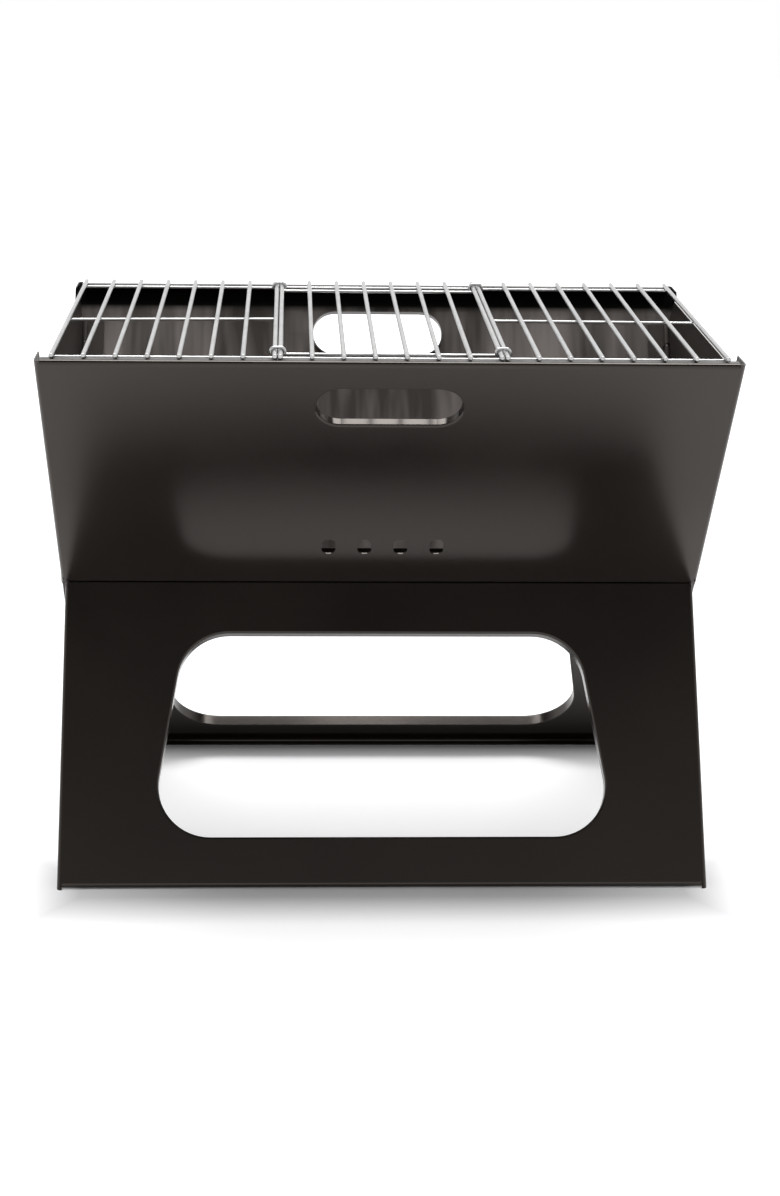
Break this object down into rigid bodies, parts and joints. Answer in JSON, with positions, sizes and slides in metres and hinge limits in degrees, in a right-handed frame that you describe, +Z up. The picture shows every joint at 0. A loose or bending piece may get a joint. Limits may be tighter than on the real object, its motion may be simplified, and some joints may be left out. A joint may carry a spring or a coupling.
{
  "type": "folding charcoal grill",
  "caption": "Portable charcoal grill of two crossed pressed-steel frames that open into a V-shaped firebox, covered by a folding wire cooking grate.",
  "frame": {"origin": "On the floor under the middle of the open grill.", "axes": "+X to the right of someone who faces the front panel, +Y from the front to the back, +Z up. Stored open, ready for use."},
  "size_m": [0.452, 0.2786, 0.3695],
  "materials": {
    "black_paint": "semi-gloss heat-proof paint, warm black",
    "chrome_wire": "bright plated wire",
    "plain_steel": "plain steel"
  },
  "bodies": {
    "outer_frame": {"front_panel": "black_paint", "rear_leg": "black_paint", "outer_frame_rivets": "black_paint", "pivot_pins": "plain_steel", "ash_trough": "black_paint"},
    "inner_frame": {"back_panel": "black_paint", "front_leg": "black_paint", "inner_frame_rivets": "black_paint", "pivot_washers": "plain_steel"},
    "end_hinges": {"left_hinge_leaf": "black_paint", "right_hinge_leaf": "black_paint", "left_hinge_rod": "plain_steel", "right_hinge_rod": "plain_steel"},
    "left_end": {"left_end_plate": "black_paint"},
    "right_end": {"right_end_plate": "black_paint"},
    "charcoal_tray": {"charcoal_grate": "black_paint"},
    "centre_grate": {"centre_grate_bars": "chrome_wire", "centre_grate_wires": "chrome_wire", "left_hinge_eyes": "chrome_wire", "right_hinge_eyes": "chrome_wire"},
    "left_grate": {"left_grate_bars": "chrome_wire", "left_grate_wires": "chrome_wire"},
    "right_grate": {"right_grate_bars": "chrome_wire", "right_grate_wires": "chrome_wire"}
  },
  "joints": [
    {"name": "fold", "type": "hinge", "parent": "outer_frame", "child": "inner_frame", "pos_m": [0, 0, 0.1803], "axis": [1, 0, 0], "range_deg": [0, 68.4]},
    {"name": "end_hinge_lift", "type": "slide", "parent": "outer_frame", "child": "end_hinges", "axis": [0, 0, 1], "range_m": [0, 0.96]},
    {"name": "left_end_swing", "type": "hinge", "parent": "end_hinges", "child": "left_end", "pos_m": [-0.2146, 0.06332, 0.25818], "axis": [0, 0.5621, 0.8271], "range_deg": [0, 88]},
    {"name": "right_end_swing", "type": "hinge", "parent": "end_hinges", "child": "right_end", "pos_m": [0.2146, 0.06332, 0.25818], "axis": [0, -0.5621, -0.8271], "range_deg": [0, 88]},
    {"name": "charcoal_grate_lift", "type": "slide", "parent": "outer_frame", "child": "charcoal_tray", "axis": [0, 0, 1], "range_m": [0, 0.96]},
    {"name": "centre_grate_lift", "type": "slide", "parent": "outer_frame", "child": "centre_grate", "axis": [0, 0, 1], "range_m": [0, 0.96]},
    {"name": "left_grate_fold", "type": "hinge", "parent": "centre_grate", "child": "left_grate", "pos_m": [-0.0736, 0, 0.36572], "axis": [0, 1, 0], "range_deg": [0, 178]},
    {"name": "right_grate_fold", "type": "hinge", "parent": "centre_grate", "child": "right_grate", "pos_m": [0.0736, 0, 0.36572], "axis": [0, -1, 0], "range_deg": [0, 130]}
  ],
  "couplings": [
    {"joint": "end_hinge_lift", "follows": "fold", "m_per_rad": 0.8},
    {"joint": "charcoal_grate_lift", "follows": "fold", "m_per_rad": 0.8},
    {"joint": "centre_grate_lift", "follows": "fold", "m_per_rad": 0.8}
  ]
}
